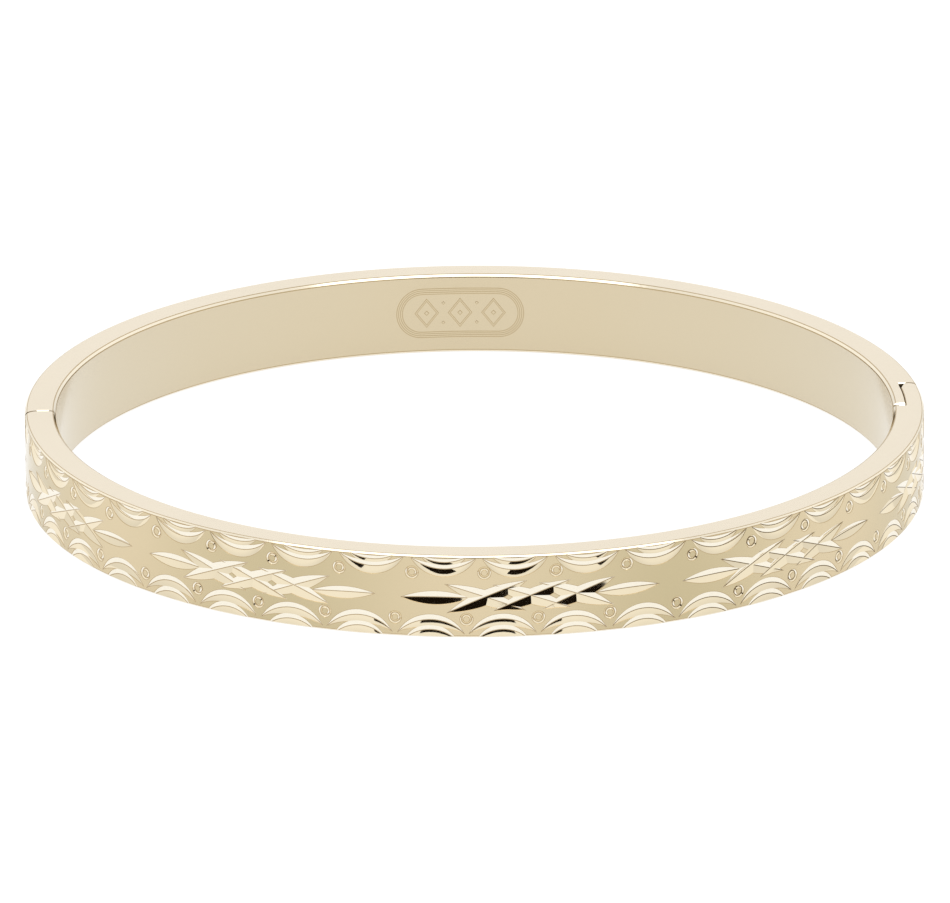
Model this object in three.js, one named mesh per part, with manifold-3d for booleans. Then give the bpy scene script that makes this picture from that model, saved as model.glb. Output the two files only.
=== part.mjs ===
// A hinged bangle bracelet, closed: a round flat band in two solid halves, joined by a pin hinge at +X and
// shut by a hidden snap catch at -X. Millimetres, +Z up; the band lies on z = 0 around the origin, with the
// front half at -Y. Angles are degrees anticlockwise from +X.
import * as THREE from "three";
import { mergeVertices } from "three/addons/utils/BufferGeometryUtils.js";
import Module from "manifold-3d";

const wasm = await Module();
wasm.setup();

// Band
const OUTER_RADIUS = 32;
const WALL = 2.2;
const HEIGHT = 6;
const EDGE_BEVEL = 0.22;
const INNER_RADIUS = OUTER_RADIUS - WALL;
const RING_FACETS = 144;
const ROUND_FACETS = 24;
const MARGIN = 1; // how far a cutter runs past the face it cuts

// Hinge: the front half's outer lap turns on a pin over the back half's inner tongue
const LAP_SEAM_ANGLE = 9.2; // where the lap ends against the back half's shoulder
const TONGUE_SEAM_ANGLE = 0.7; // where the back half's tongue ends inside the front half
const TONGUE_SEAM_GAP = 0.35;
const RUNNING_GAP = 0.05;
const KNUCKLE_RADIUS = 0.62;
const LAP_ROUND = 0.635; // the lap's full-round end, about the pin's axis
const PIN_RADIUS = 0.3;
const PIN_BORE_RADIUS = 0.34;
const PIN_INSET = 0.64; // from the outer face and from the shoulder to the pin's axis
const KNUCKLE_LOW = 1.9;
const KNUCKLE_HIGH = 4.1;
const CHEEK_GAP = 0.06; // above and below the middle knuckle
const SLOT_RELIEF = 0.12; // from the middle knuckle to the slot it turns in
const WEB_INSET = 0.05; // from the band's outer face to the web behind the middle knuckle
const ROOT_OVERLAP = 0.5; // degrees that the tongue and the web run into the back half's arc
const PIN_LOW = 0.1;
const PIN_HIGH = 4.95;
const PIN_HOLE_TOP = 5;

// Catch: a V-folded spring tongue on the front half enters a socket in the back half
const CATCH_SEAM_ANGLE = 181.3;
const SEAM_GAP = 0.06;
const NOSE_OUTER_ROUND = 0.85; // the front half's end, seen from above
const NOSE_INNER_ROUND = 0.5;
const TONGUE_INSET = 0.17; // from the middle of the wall towards the wrist, at the seam
const TONGUE_REACH = 4;
const TONGUE_ROOT = 2.4;
const STRIP = 0.3; // thickness of the spring strip
const STRIP_LOW = 1.4;
const STRIP_HIGH = 4.6;
const STRIP_OFFSET = 0.3; // from the tongue's middle plane to the middle of each leaf
const SOCKET_CLEARANCE = 0.1;
const SOCKET_DEPTH = 4.25;
const LEAF_START = 1.35; // free end of the spring leaf, from the seam
const LEAF_END = 3.5;
const LEAF_GAP = 0.04; // what the free leaf's outer face and its two edges are smaller by
const BARB_HEIGHT = 0.1;
const BARB_LENGTH = 0.75;
const CATCH_PIN_RADIUS = 0.28;
const CATCH_PIN_AT = 0.95; // from the seam
const CATCH_PIN_OFFSET = 0.64; // from the tongue's middle plane
const CATCH_PIN_HOLE_RADIUS = 0.31;
const CATCH_PIN_LOW = 0.1;
const CATCH_PIN_HIGH = 4.85;
const CATCH_PIN_HOLE_TOP = 4.9;

const goldPlate = new THREE.MeshStandardMaterial({ color: 0xe6d7b4, roughness: 0.22, metalness: 1 });
const springSteel = new THREE.MeshStandardMaterial({ color: 0xb9bcc0, roughness: 0.35, metalness: 1 });

function polar(radius, degrees) {
  const angle = THREE.MathUtils.degToRad(degrees);
  return new THREE.Vector2(radius * Math.cos(angle), radius * Math.sin(angle));
}

function arcDegrees(length, radius) {
  return THREE.MathUtils.radToDeg(length / radius);
}

// ---- solids -------------------------------------------------------------------------------------------

function solidOf(geometry) {
  const bare = geometry.clone();
  bare.deleteAttribute("normal");
  bare.deleteAttribute("uv");
  const merged = mergeVertices(bare, 1e-5);
  const vertProperties = merged.attributes.position.array;
  const triVerts = new Uint32Array(merged.index.array);
  return new wasm.Manifold(new wasm.Mesh({ numProp: 3, vertProperties, triVerts }));
}

function geometryOf(solid) {
  const { vertProperties, triVerts } = solid.getMesh();
  const geometry = new THREE.BufferGeometry();
  geometry.setAttribute("position", new THREE.BufferAttribute(vertProperties, 3));
  geometry.setIndex(new THREE.BufferAttribute(triVerts, 1));
  geometry.computeVertexNormals();
  return geometry;
}

// An outline in the XY plane, raised from z = low to z = high.
function plate(points, low, high) {
  const settings = { depth: high - low, bevelEnabled: false };
  const geometry = new THREE.ExtrudeGeometry(new THREE.Shape(points), settings);
  geometry.translate(0, 0, low);
  return solidOf(geometry);
}

function uprightCylinder(centre, radius, low, high, facets = ROUND_FACETS) {
  const geometry = new THREE.CylinderGeometry(radius, radius, high - low, facets);
  geometry.rotateX(Math.PI / 2);
  geometry.translate(centre.x, centre.y, (low + high) / 2);
  return solidOf(geometry);
}

// The points of a sector between two radii and two angles, one point for each facet of the ring.
function sector(innerRadius, outerRadius, from, to) {
  const steps = Math.max(1, Math.ceil((to - from) / (360 / RING_FACETS)));
  const angles = Array.from({ length: steps + 1 }, (_, i) => from + ((to - from) * i) / steps);
  const outer = angles.map((angle) => polar(outerRadius, angle));
  const inner = angles.map((angle) => polar(innerRadius, angle)).reverse();
  return [...outer, ...inner];
}

function wedge(from, to, innerRadius = INNER_RADIUS - MARGIN, outerRadius = OUTER_RADIUS + MARGIN) {
  return plate(sector(innerRadius, outerRadius, from, to), -MARGIN, HEIGHT + MARGIN);
}

// The whole band as one ring with bevelled edges.
function bandRing() {
  const profile = [
    [INNER_RADIUS, EDGE_BEVEL],
    [INNER_RADIUS + EDGE_BEVEL, 0],
    [OUTER_RADIUS - EDGE_BEVEL, 0],
    [OUTER_RADIUS, EDGE_BEVEL],
    [OUTER_RADIUS, HEIGHT - EDGE_BEVEL],
    [OUTER_RADIUS - EDGE_BEVEL, HEIGHT],
    [INNER_RADIUS + EDGE_BEVEL, HEIGHT],
    [INNER_RADIUS, HEIGHT - EDGE_BEVEL],
    [INNER_RADIUS, EDGE_BEVEL],
  ].map(([radius, z]) => new THREE.Vector2(radius, z));
  const geometry = new THREE.LatheGeometry(profile, RING_FACETS);
  geometry.rotateX(Math.PI / 2);
  return solidOf(geometry);
}

// ---- hinge --------------------------------------------------------------------------------------------

const HINGE_ANGLE = LAP_SEAM_ANGLE - arcDegrees(PIN_INSET + RUNNING_GAP, OUTER_RADIUS);
const hingeAxis = polar(OUTER_RADIUS - PIN_INSET, HINGE_ANGLE);
const LAP_INNER_RADIUS = OUTER_RADIUS - PIN_INSET - KNUCKLE_RADIUS;
const TONGUE_OUTER_RADIUS = LAP_INNER_RADIUS - RUNNING_GAP;

// The lap as far as the pin, rounded off about the pin's axis.
function lap() {
  const arm = wedge(TONGUE_SEAM_ANGLE - MARGIN, HINGE_ANGLE, LAP_INNER_RADIUS);
  return arm.add(uprightCylinder(hingeAxis, LAP_ROUND, -MARGIN, HEIGHT + MARGIN));
}

// The slot through the lap's end that the back half's middle knuckle fills.
function knuckleSlot() {
  const [low, high] = [KNUCKLE_LOW - CHEEK_GAP, KNUCKLE_HIGH + CHEEK_GAP];
  const round = uprightCylinder(hingeAxis, KNUCKLE_RADIUS + SLOT_RELIEF, low, high);
  const outline = sector(INNER_RADIUS, OUTER_RADIUS + MARGIN, HINGE_ANGLE, LAP_SEAM_ANGLE + MARGIN);
  return round.add(plate(outline, low, high));
}

function middleKnuckle() {
  const [from, to] = [HINGE_ANGLE, LAP_SEAM_ANGLE + ROOT_OVERLAP];
  const outline = sector(TONGUE_OUTER_RADIUS - RUNNING_GAP, OUTER_RADIUS - WEB_INSET, from, to);
  const web = plate(outline, KNUCKLE_LOW, KNUCKLE_HIGH);
  return uprightCylinder(hingeAxis, KNUCKLE_RADIUS, KNUCKLE_LOW, KNUCKLE_HIGH).add(web);
}

function hingePin() {
  return uprightCylinder(hingeAxis, PIN_RADIUS, PIN_LOW, PIN_HIGH);
}

function hingePinHole() {
  return uprightCylinder(hingeAxis, PIN_BORE_RADIUS, -MARGIN, PIN_HOLE_TOP);
}

// ---- catch --------------------------------------------------------------------------------------------

// The catch's own axes at the seam: "along" points into the socket, along the path that the tongue's middle
// follows about the hinge axis, and "out" points away from the wrist.
const seamPoint = polar(OUTER_RADIUS - WALL / 2 - TONGUE_INSET, CATCH_SEAM_ANGLE);
const swing = seamPoint.clone().sub(hingeAxis);
const pathTurn = TONGUE_REACH / 2 / swing.length();
const out = swing.clone().normalize().rotateAround(new THREE.Vector2(), -pathTurn);
const along = new THREE.Vector2(out.y, -out.x);

function catchPoint(reach, offset) {
  return seamPoint.clone().addScaledVector(along, reach).addScaledVector(out, offset);
}

// A plate whose outline is given as [reach, offset] pairs in the catch's axes.
function catchPlate(outline, low, high) {
  return plate(outline.map(([reach, offset]) => catchPoint(reach, offset)), low, high);
}

function socket() {
  const half = STRIP_OFFSET + STRIP / 2 + SOCKET_CLEARANCE;
  const outline = [
    [-MARGIN, half],
    [SOCKET_DEPTH, half],
    [SOCKET_DEPTH, -half],
    [-MARGIN, -half],
  ];
  return catchPlate(outline, STRIP_LOW - SOCKET_CLEARANCE, STRIP_HIGH + SOCKET_CLEARANCE);
}

function tongueRootSlot() {
  const [low, high] = [-STRIP_OFFSET - STRIP / 2 - RUNNING_GAP, -STRIP_OFFSET + STRIP / 2 + RUNNING_GAP];
  const outline = [
    [MARGIN, low],
    [-TONGUE_ROOT - RUNNING_GAP, low],
    [-TONGUE_ROOT - RUNNING_GAP, high],
    [MARGIN, high],
  ];
  return catchPlate(outline, STRIP_LOW - RUNNING_GAP, STRIP_HIGH + RUNNING_GAP);
}

// The fixed leaf, soldered into the front half, with the fold at its tip.
function catchTongue() {
  const [low, high] = [-STRIP_OFFSET - STRIP / 2, -STRIP_OFFSET + STRIP / 2];
  const bend = STRIP_OFFSET + STRIP / 2;
  const foldCentre = TONGUE_REACH - bend;
  const turns = Array.from({ length: 9 }, (_, i) => -Math.PI / 2 + (Math.PI * i) / 8);
  const outside = turns.map((a) => [foldCentre + bend * Math.cos(a), bend * Math.sin(a)]);
  const inside = turns.map((a) => [foldCentre + (bend - STRIP) * Math.cos(a), (bend - STRIP) * Math.sin(a)]);
  const outline = [[-TONGUE_ROOT, high], [-TONGUE_ROOT, low], ...outside, ...inside.reverse()];
  return catchPlate(outline, STRIP_LOW, STRIP_HIGH);
}

// The free leaf, from the fold back towards the seam, with a ramped barb at its end.
function springLeaf() {
  const [low, high] = [STRIP_OFFSET - STRIP / 2, STRIP_OFFSET + STRIP / 2 - LEAF_GAP];
  const crest = high + BARB_HEIGHT;
  const outline = [
    [LEAF_START, low],
    [LEAF_END, low],
    [LEAF_END, high],
    [LEAF_START + BARB_LENGTH, high],
    [LEAF_START + BARB_LENGTH / 3, crest],
    [LEAF_START + BARB_LENGTH / 6, crest],
    [LEAF_START, high],
  ];
  return catchPlate(outline, STRIP_LOW + LEAF_GAP, STRIP_HIGH - LEAF_GAP);
}

function catchPin() {
  const centre = catchPoint(CATCH_PIN_AT, CATCH_PIN_OFFSET);
  return uprightCylinder(centre, CATCH_PIN_RADIUS, CATCH_PIN_LOW, CATCH_PIN_HIGH);
}

function catchPinHole() {
  const centre = catchPoint(CATCH_PIN_AT, CATCH_PIN_OFFSET);
  return uprightCylinder(centre, CATCH_PIN_HOLE_RADIUS, -MARGIN, CATCH_PIN_HOLE_TOP);
}

// ---- halves -------------------------------------------------------------------------------------------

const NOSE_ANGLE = CATCH_SEAM_ANGLE + arcDegrees(SEAM_GAP, OUTER_RADIUS);
const FRONT_END_ANGLE = 360 + TONGUE_SEAM_ANGLE - arcDegrees(TONGUE_SEAM_GAP, INNER_RADIUS);

// What the front half's catch end loses where an upright corner is rounded. facing is 1 for the corner on the
// outer face and -1 for the one on the inner face.
function cornerLoss(faceRadius, facing, round) {
  const centreRadius = faceRadius - facing * round;
  const centreAngle = NOSE_ANGLE + arcDegrees(round, centreRadius);
  const beyond = faceRadius + facing * MARGIN;
  const [low, high] = [Math.min(centreRadius, beyond), Math.max(centreRadius, beyond)];
  const block = wedge(NOSE_ANGLE - MARGIN, centreAngle, low, high);
  const kept = uprightCylinder(polar(centreRadius, centreAngle), round, -2 * MARGIN, HEIGHT + 2 * MARGIN);
  return block.subtract(kept);
}

function backHalf() {
  const arc = wedge(LAP_SEAM_ANGLE, CATCH_SEAM_ANGLE);
  const rootAngle = LAP_SEAM_ANGLE + ROOT_OVERLAP;
  const tongue = wedge(TONGUE_SEAM_ANGLE, rootAngle, INNER_RADIUS - MARGIN, TONGUE_OUTER_RADIUS);
  const body = bandRing().intersect(arc.add(tongue)).add(middleKnuckle());
  return body.subtract(hingePinHole()).subtract(socket()).subtract(catchPinHole());
}

function frontHalf() {
  const body = bandRing().intersect(wedge(NOSE_ANGLE, FRONT_END_ANGLE).add(lap()));
  const cuts = [
    knuckleSlot(),
    hingePinHole(),
    tongueRootSlot(),
    cornerLoss(OUTER_RADIUS, 1, NOSE_OUTER_ROUND),
    cornerLoss(INNER_RADIUS, -1, NOSE_INNER_ROUND),
  ];
  return cuts.reduce((solid, cut) => solid.subtract(cut), body);
}

// ---- assembly -----------------------------------------------------------------------------------------

function part(name, solid, material) {
  const mesh = new THREE.Mesh(geometryOf(solid), material);
  mesh.name = name;
  return mesh;
}

const bangle = new THREE.Group();
bangle.add(part("back_half", backHalf(), goldPlate));
bangle.add(part("front_half", frontHalf(), goldPlate));
bangle.add(part("hinge_pin", hingePin(), springSteel));
bangle.add(part("catch_tongue", catchTongue(), springSteel));
bangle.add(part("spring_leaf", springLeaf(), springSteel));
bangle.add(part("catch_pin", catchPin(), springSteel));

export default bangle;
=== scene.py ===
"""A hinged bangle bracelet: a round band in two polished pale-gold halves, diamond-cut outside,
with a pin hinge at +X and a hidden snap catch at -X. The visible pieces are built here in
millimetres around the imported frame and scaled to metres. Angles are degrees anticlockwise from +X,
and the band's front faces -Y."""

import math
import random

import bmesh
import bpy
import numpy as np
from mathutils import Matrix, Vector

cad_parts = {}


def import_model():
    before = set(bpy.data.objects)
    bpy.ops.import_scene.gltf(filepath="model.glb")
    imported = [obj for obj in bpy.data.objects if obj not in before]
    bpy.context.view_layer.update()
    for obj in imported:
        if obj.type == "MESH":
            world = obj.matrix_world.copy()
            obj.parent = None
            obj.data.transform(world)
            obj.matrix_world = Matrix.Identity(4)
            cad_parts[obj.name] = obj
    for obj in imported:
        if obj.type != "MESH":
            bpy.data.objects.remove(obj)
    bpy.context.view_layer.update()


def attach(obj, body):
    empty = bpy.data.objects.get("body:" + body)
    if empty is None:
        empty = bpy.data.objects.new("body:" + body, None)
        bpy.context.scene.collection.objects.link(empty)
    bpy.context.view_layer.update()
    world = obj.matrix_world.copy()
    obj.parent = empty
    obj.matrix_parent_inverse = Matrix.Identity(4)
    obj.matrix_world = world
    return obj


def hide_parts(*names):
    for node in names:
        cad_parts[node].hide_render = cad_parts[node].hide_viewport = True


MM = 0.001

# Band, as in the CAD source
OUTER_RADIUS = 32.0
WALL = 2.2
HEIGHT = 6.0
INNER_RADIUS = OUTER_RADIUS - WALL
MARGIN = 1.0  # how far keep and cut solids reach past the band

# Hinge, as in the CAD source
LAP_SEAM_ANGLE = 9.2
TONGUE_SEAM_ANGLE = 0.7
TONGUE_SEAM_GAP = 0.35
RUNNING_GAP = 0.05
KNUCKLE_RADIUS = 0.62
LAP_ROUND = 0.635
PIN_RADIUS = 0.3
PIN_BORE_RADIUS = 0.34
PIN_INSET = 0.64
KNUCKLE_LOW = 1.9
KNUCKLE_HIGH = 4.1
CHEEK_GAP = 0.06
SLOT_RELIEF = 0.12
WEB_INSET = 0.05
ROOT_OVERLAP = 0.5
PIN_LOW = 0.1
PIN_HIGH = 4.95
PIN_HOLE_TOP = 5.0

# Catch, as in the CAD source
CATCH_SEAM_ANGLE = 181.3
SEAM_GAP = 0.06
NOSE_OUTER_ROUND = 0.85
NOSE_INNER_ROUND = 0.5
TONGUE_INSET = 0.17
TONGUE_REACH = 4.0
TONGUE_ROOT = 2.4
STRIP = 0.3
STRIP_LOW = 1.4
STRIP_HIGH = 4.6
STRIP_OFFSET = 0.3
SOCKET_CLEARANCE = 0.1
SOCKET_DEPTH = 4.25
LEAF_START = 1.35
LEAF_END = 3.5
LEAF_GAP = 0.04
BARB_HEIGHT = 0.1
BARB_LENGTH = 0.75
CATCH_PIN_RADIUS = 0.28
CATCH_PIN_AT = 0.95
CATCH_PIN_OFFSET = 0.64
CATCH_PIN_HOLE_RADIUS = 0.31
CATCH_PIN_LOW = 0.1
CATCH_PIN_HIGH = 4.85
CATCH_PIN_HOLE_TOP = 4.9

# Fineness of the visible model
RING_STEPS = 1440
OUTLINE_STEP = 0.25  # degrees between the points of an arc about the band's centre
ROUND_STEPS = 96
SMOOTH_ANGLE = 9  # degrees between faces that still shade as one surface

# Rounding of the band's four edges, in shares of its size: inset from the face, then from the edge
BEVEL_SHARES = ((0.0, 1.0), (0.125, 0.7), (0.7, 0.125), (1.0, 0.0))
OUTER_BEVEL = 0.17
INNER_BEVEL = 0.24

# Lips of the visible seams, and the notch in the lap's inner corner
SHOULDER_LIP = 0.18
OUTER_LIP = 0.54
INNER_LIP = 0.27
NOTCH_OUT = 0.45
NOTCH_ALONG = 1.1
NOTCH_OVERLAP = 0.03

# Chamfers of the visible seams, most as (upper rim, lower rim)
FRONT_END_BREAK = (0.1, 0.08)
LAP_UNDER_BREAK = (0.05, 0.05)
LAP_ROUND_BREAK = (0.09, 0.07)
NOSE_BREAK = (0.08, 0.06)
SHOULDER_BREAK = (0.08, 0.08)
SHOULDER_BREAK_REACH = 0.55  # outwards from the tongue
TONGUE_END_BREAK = (0.12, 0.1)
TONGUE_END_WIDE_BREAK = (0.24, 0.1)
TONGUE_WIDE_FROM = 0.45  # from the inner face
TONGUE_OVER_BREAK = (0.05, 0.05)
CATCH_BREAK = (0.12, 0.08)
INNER_CORNER_BREAK = 0.08
PIN_TRIM = 0.05
STRIP_TRIM = 0.03

# Engraving: V-shaped diamond cuts in the outer face
FLUTE_SLOPE = 21.5  # degrees between a cut's walls and the face
GENTLE_FLUTE_SLOPE = 17.5
ARCH_SLOPE = 18.5
SWAG_SLOPE = 22.7
ARCH_KNEE = (19.5, 15.5)  # slopes of the lower and the upper half of a wall that faces up
SWAG_KNEE = (23.5, 15.5)
PUNCH_SLOPE = 36.0
RIM_SLOPE = 42.0
RIM_DEPTH = 0.03
VALLEY = 0.06  # width of the narrow flat along a cut's valley
LEAST_VALLEY = 0.004  # half its width at a cut's ends
LEAST_WALL = 0.002  # height of a cut's walls at its ends
CUT_CLEAR = 0.02  # how far a cutter stands above the face
CUT_LIFT = 0.004  # how far above the face a cut's tip ends
ARCHES = 40
MOTIFS = 10
ARCH_PITCH = 2 * math.pi * OUTER_RADIUS / ARCHES
MOTIF_PITCH = 2 * math.pi * OUTER_RADIUS / MOTIFS
FIRST_ARCH = 1.93  # distances along the face from the front's middle
FIRST_SWAG = 2.8
FIRST_MOTIF = 4.0
# Flutes of a lattice motif, in groups that don't touch: place along the face, height, its spread,
# length, width, tilt, its spread, slope
MOTIF = (
    (
        (-3.15, 3.0, 0.05, 6.15, 1.2, 22.5, 1.0, FLUTE_SLOPE),
        (0.0, 2.97, 0.05, 5.85, 1.2, 21.0, 0.8, FLUTE_SLOPE),
        (3.3, 2.97, 0.05, 5.6, 1.15, 21.0, 0.8, FLUTE_SLOPE),
    ),
    (
        (-3.3, 2.97, 0.04, 6.1, 1.2, -19.3, 0.8, GENTLE_FLUTE_SLOPE),
        (-0.05, 2.93, 0.04, 5.9, 1.15, -19.5, 0.8, FLUTE_SLOPE),
        (3.1, 2.97, 0.04, 5.8, 1.2, -20.5, 0.8, FLUTE_SLOPE),
    ),
    (
        (-6.75, 2.94, 0.03, 4.95, 1.08, 0.0, 0.6, FLUTE_SLOPE),
        (6.8, 2.95, 0.03, 4.85, 0.98, 2.0, 0.8, FLUTE_SLOPE),
    ),
)
ARCH_CUTS = ((1.3, 2.4, 0.24, 1.0), (0.53, 1.9, -0.25, 0.95))  # crown, half chord, foot and width
SWAG_CUTS = ((1.05, 2.36, 0.08, 0.92), (0.5, 1.7, 0.0, 0.66))
PUNCH_RADIUS = 0.34
PUNCH_WIDTH = 0.26
LOW_PUNCH_UP = 1.37
HIGH_PUNCH_UP = 4.76
HIGH_PUNCH_SHIFT = 0.3

# Cartouche on the back half's inner face
CARTOUCHE_ANGLE = 92.0
CARTOUCHE_UP = 3.08
CARTOUCHE_LENGTH = 9.2
CARTOUCHE_HEIGHT = 3.6
RIB_WIDTH = 0.27
RIB_RISE = 0.008
RIB_SINK = 0.005
RIB_STEP = 0.25  # longest distance between a rib's points
BORDER_GAP = 0.28
LOZENGE = (0.8, 1.0)
LOZENGE_PITCH = 2.45
LOZENGE_STUD = 0.24
SMALL_STUD = 0.17
SMALL_STUD_UP = 0.75


def degrees_of(length, radius):
    return math.degrees(length / radius)


def polar(radius, angle):
    turn = math.radians(angle)
    return np.array([radius * math.cos(turn), radius * math.sin(turn)])


# ---- solids --------------------------------------------------------------------------------------


def solid(vertices, faces, name="solid"):
    """A mesh object of a closed solid, with its faces turned outwards."""
    mesh = bpy.data.meshes.new(name)
    mesh.from_pydata(np.asarray(vertices, float).tolist(), [], faces)
    made = bmesh.new()
    made.from_mesh(mesh)
    bmesh.ops.recalc_face_normals(made, faces=made.faces)
    made.to_mesh(mesh)
    made.free()
    piece = bpy.data.objects.new(name, mesh)
    bpy.context.scene.collection.objects.link(piece)
    return piece


def combined(target, tool, operation):
    """target after a boolean operation with tool, which is used up."""
    modifier = target.modifiers.new("boolean", "BOOLEAN")
    modifier.operation = operation
    modifier.solver = "MANIFOLD"
    modifier.object = tool
    depsgraph = bpy.context.evaluated_depsgraph_get()
    made = bpy.data.meshes.new_from_object(target.evaluated_get(depsgraph))
    target.modifiers.clear()
    if not len(made.polygons):
        raise RuntimeError("a boolean operation left nothing of " + target.name)
    used, target.data = target.data, made
    bpy.data.meshes.remove(used)
    used = tool.data
    bpy.data.objects.remove(tool)
    bpy.data.meshes.remove(used)
    return target


def plate(outline, low, high):
    """An outline in the XY plane, raised from z = low to z = high."""
    count = len(outline)
    vertices = [(x, y, z) for z in (low, high) for x, y in outline]
    sides = [(i, (i + 1) % count, count + (i + 1) % count, count + i) for i in range(count)]
    return solid(vertices, sides + [tuple(range(count))[::-1], tuple(range(count, 2 * count))])


def round_plate(centre, radius, low, high):
    turns = np.linspace(0, 360, ROUND_STEPS, endpoint=False)
    return plate([centre + polar(radius, turn) for turn in turns], low, high)


def arc(radius, start, end):
    """Points of an arc about the band's centre."""
    steps = max(1, math.ceil(abs(end - start) / OUTLINE_STEP))
    return [polar(radius, angle) for angle in np.linspace(start, end, steps + 1)]


def corner_arc(centre, radius, start, end):
    steps = ROUND_STEPS // 4
    return [centre + polar(radius, angle) for angle in np.linspace(start, end, steps + 1)]


def sector(start, end, inner, outer=OUTER_RADIUS + MARGIN):
    return arc(outer, start, end) + arc(inner, end, start)


def wedge(start, end, inner=INNER_RADIUS - MARGIN, outer=OUTER_RADIUS + MARGIN):
    return plate(sector(start, end, inner, outer), -MARGIN, HEIGHT + MARGIN)


def skin(rings, closed):
    """Vertices and faces of one solid skinned over rings of points, all of the same count."""
    count, size = len(rings), len(rings[0])
    faces = []
    for i in range(count if closed else count - 1):
        j = (i + 1) % count
        for k in range(size):
            m = (k + 1) % size
            faces.append((i * size + k, i * size + m, j * size + m))
            faces.append((i * size + k, j * size + m, j * size + k))
    if not closed:
        faces.append(tuple(range(size))[::-1])
        faces.append(tuple((count - 1) * size + k for k in range(size)))
    return np.asarray(rings, float).reshape(-1, 3), faces


def many(parts, name):
    """One object that holds several separate solids, each as vertices and faces."""
    vertices, faces, start = [], [], 0
    for points, corners in parts:
        vertices.append(points)
        faces += [tuple(start + i for i in face) for face in corners]
        start += len(points)
    return solid(np.concatenate(vertices), faces, name)


def mitres(outline):
    """Outward offset directions at the corners of a closed anticlockwise outline."""
    points = np.asarray(outline, float)
    ahead = np.roll(points, -1, 0) - points
    ahead /= np.linalg.norm(ahead, axis=1)[:, None]
    after = np.stack([ahead[:, 1], -ahead[:, 0]], -1)
    before = np.roll(after, 1, 0)
    return (before + after) / (1 + (before * after).sum(1))[:, None]


def anticlockwise(outline):
    points = np.asarray(outline, float)
    turned = np.roll(points, -1, 0)
    area = (points[:, 0] * turned[:, 1] - points[:, 1] * turned[:, 0]).sum()
    return points if area > 0 else points[::-1]


def trimmed_plate(outline, low, high, trim, name):
    """A raised outline whose upper and lower rims are chamfered by trim."""
    points = anticlockwise(outline)
    inset = points - mitres(points) * trim
    levels = ((inset, low), (points, low + trim), (points, high - trim), (inset, high))
    rings = [np.column_stack([ring, np.full(len(ring), up)]) for ring, up in levels]
    return solid(*skin(rings, False), name)


def along_edge(points, first, second, size):
    """A bar that chamfers an edge by size. first and second are the ways that its faces face."""
    points, first, second = np.broadcast_arrays(np.asarray(points, float), first, second)
    corners = (first * size, second * size, -first * size, -second * size)
    return solid(*skin(np.stack([points + corner for corner in corners], 1), False))


def rim_breaks(outline, outwards, sizes):
    """Bars for the upper and the lower rim of an upright face that follows a plan outline."""
    plan = np.asarray(outline, float)
    outwards = np.broadcast_to(np.asarray(outwards, float), plan.shape)
    sideways = np.column_stack([outwards, np.zeros(len(plan))])
    bars = []
    for up, rise, size in ((HEIGHT, 1.0, sizes[0]), (0.0, -1.0, sizes[1])):
        points = np.column_stack([plan, np.full(len(plan), up)])
        bars.append(along_edge(points, sideways, np.array([0, 0, rise]), size))
    return bars


def upright_break(place, first, second, size):
    points = [(*place, -MARGIN), (*place, HEIGHT + MARGIN)]
    return along_edge(points, np.array([*first, 0]), np.array([*second, 0]), size)


# ---- engraving -----------------------------------------------------------------------------------


def on_band(along, up, height):
    """Points at a distance along the outer face from its front, at heights up the band and above
    the face."""
    turn = along / OUTER_RADIUS - math.pi / 2
    reach = OUTER_RADIUS + height
    return np.stack([reach * np.cos(turn), reach * np.sin(turn), up + 0 * turn], -1)


def v_cut(centre, normal, width, steepness, closed=False, knee=None):
    """A cutter with a V section, a narrow flat along the valley and steeper rims. centre and normal
    are points and directions on the unwrapped face, width is the cut's width there, and steepness
    is its walls' slope in degrees. knee, if given, is the slopes of the lower and of the upper half
    of the wall that faces up."""
    slope = math.tan(math.radians(steepness))
    tip = CUT_LIFT - width / 2 * slope
    valley = np.clip(width / 6, LEAST_VALLEY, VALLEY / 2)
    rim = np.maximum(-RIM_DEPTH, tip + LEAST_WALL)
    run = (rim - tip) / slope
    lip = (CUT_CLEAR - rim) / math.tan(math.radians(RIM_SLOPE))
    clear = np.full(len(centre), CUT_CLEAR)
    section = [(valley + run + lip, clear), (valley + run, rim), (valley, tip), (-valley, tip)]
    if knee:
        deep, shallow = (math.tan(math.radians(angle)) for angle in knee)
        half = (rim - tip) / 2
        section.append((-valley - half / deep, tip + half))
        run = half / deep + half / shallow
    section += [(-valley - run, rim), (-valley - run - lip, clear)]
    rings = []
    for offset, height in section:
        points = centre + normal * offset[:, None]
        rings.append(on_band(points[:, 0], points[:, 1], height))
    return skin(np.stack(rings, 1), closed)


def flute(along, up, length, width, tilt, steepness):
    """A straight lens-shaped cut, tilt degrees from level."""
    share = np.linspace(-1, 1, 21)
    direction = polar(1, tilt)
    normal = np.tile([-direction[1], direction[0]], (len(share), 1))
    centre = np.array([along, up]) + share[:, None] * direction * length / 2
    return v_cut(centre, normal, width * (1 - share**2), steepness)


def crescent(along, base, side, crown, half_chord, foot, width):
    """An arched cut over half_chord to each side, whose valley rises from foot to crown above base.
    side is 1 for an arch on the lower edge and -1 for a swag hung from the upper edge."""
    rise = crown - foot
    radius = (half_chord**2 + rise**2) / (2 * rise)
    share = np.linspace(-1, 1, 25)
    turn = share * math.asin(half_chord / radius)
    up = base + side * (crown - radius * (1 - np.cos(turn)))
    centre = np.stack([along + radius * np.sin(turn), up], -1)
    normal = np.stack([side * np.sin(turn), np.cos(turn)], -1)
    slope, knee = (ARCH_SLOPE, ARCH_KNEE) if side > 0 else (SWAG_SLOPE, SWAG_KNEE)
    return v_cut(centre, normal, width * (1 - share**2), slope, knee=knee)


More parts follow.
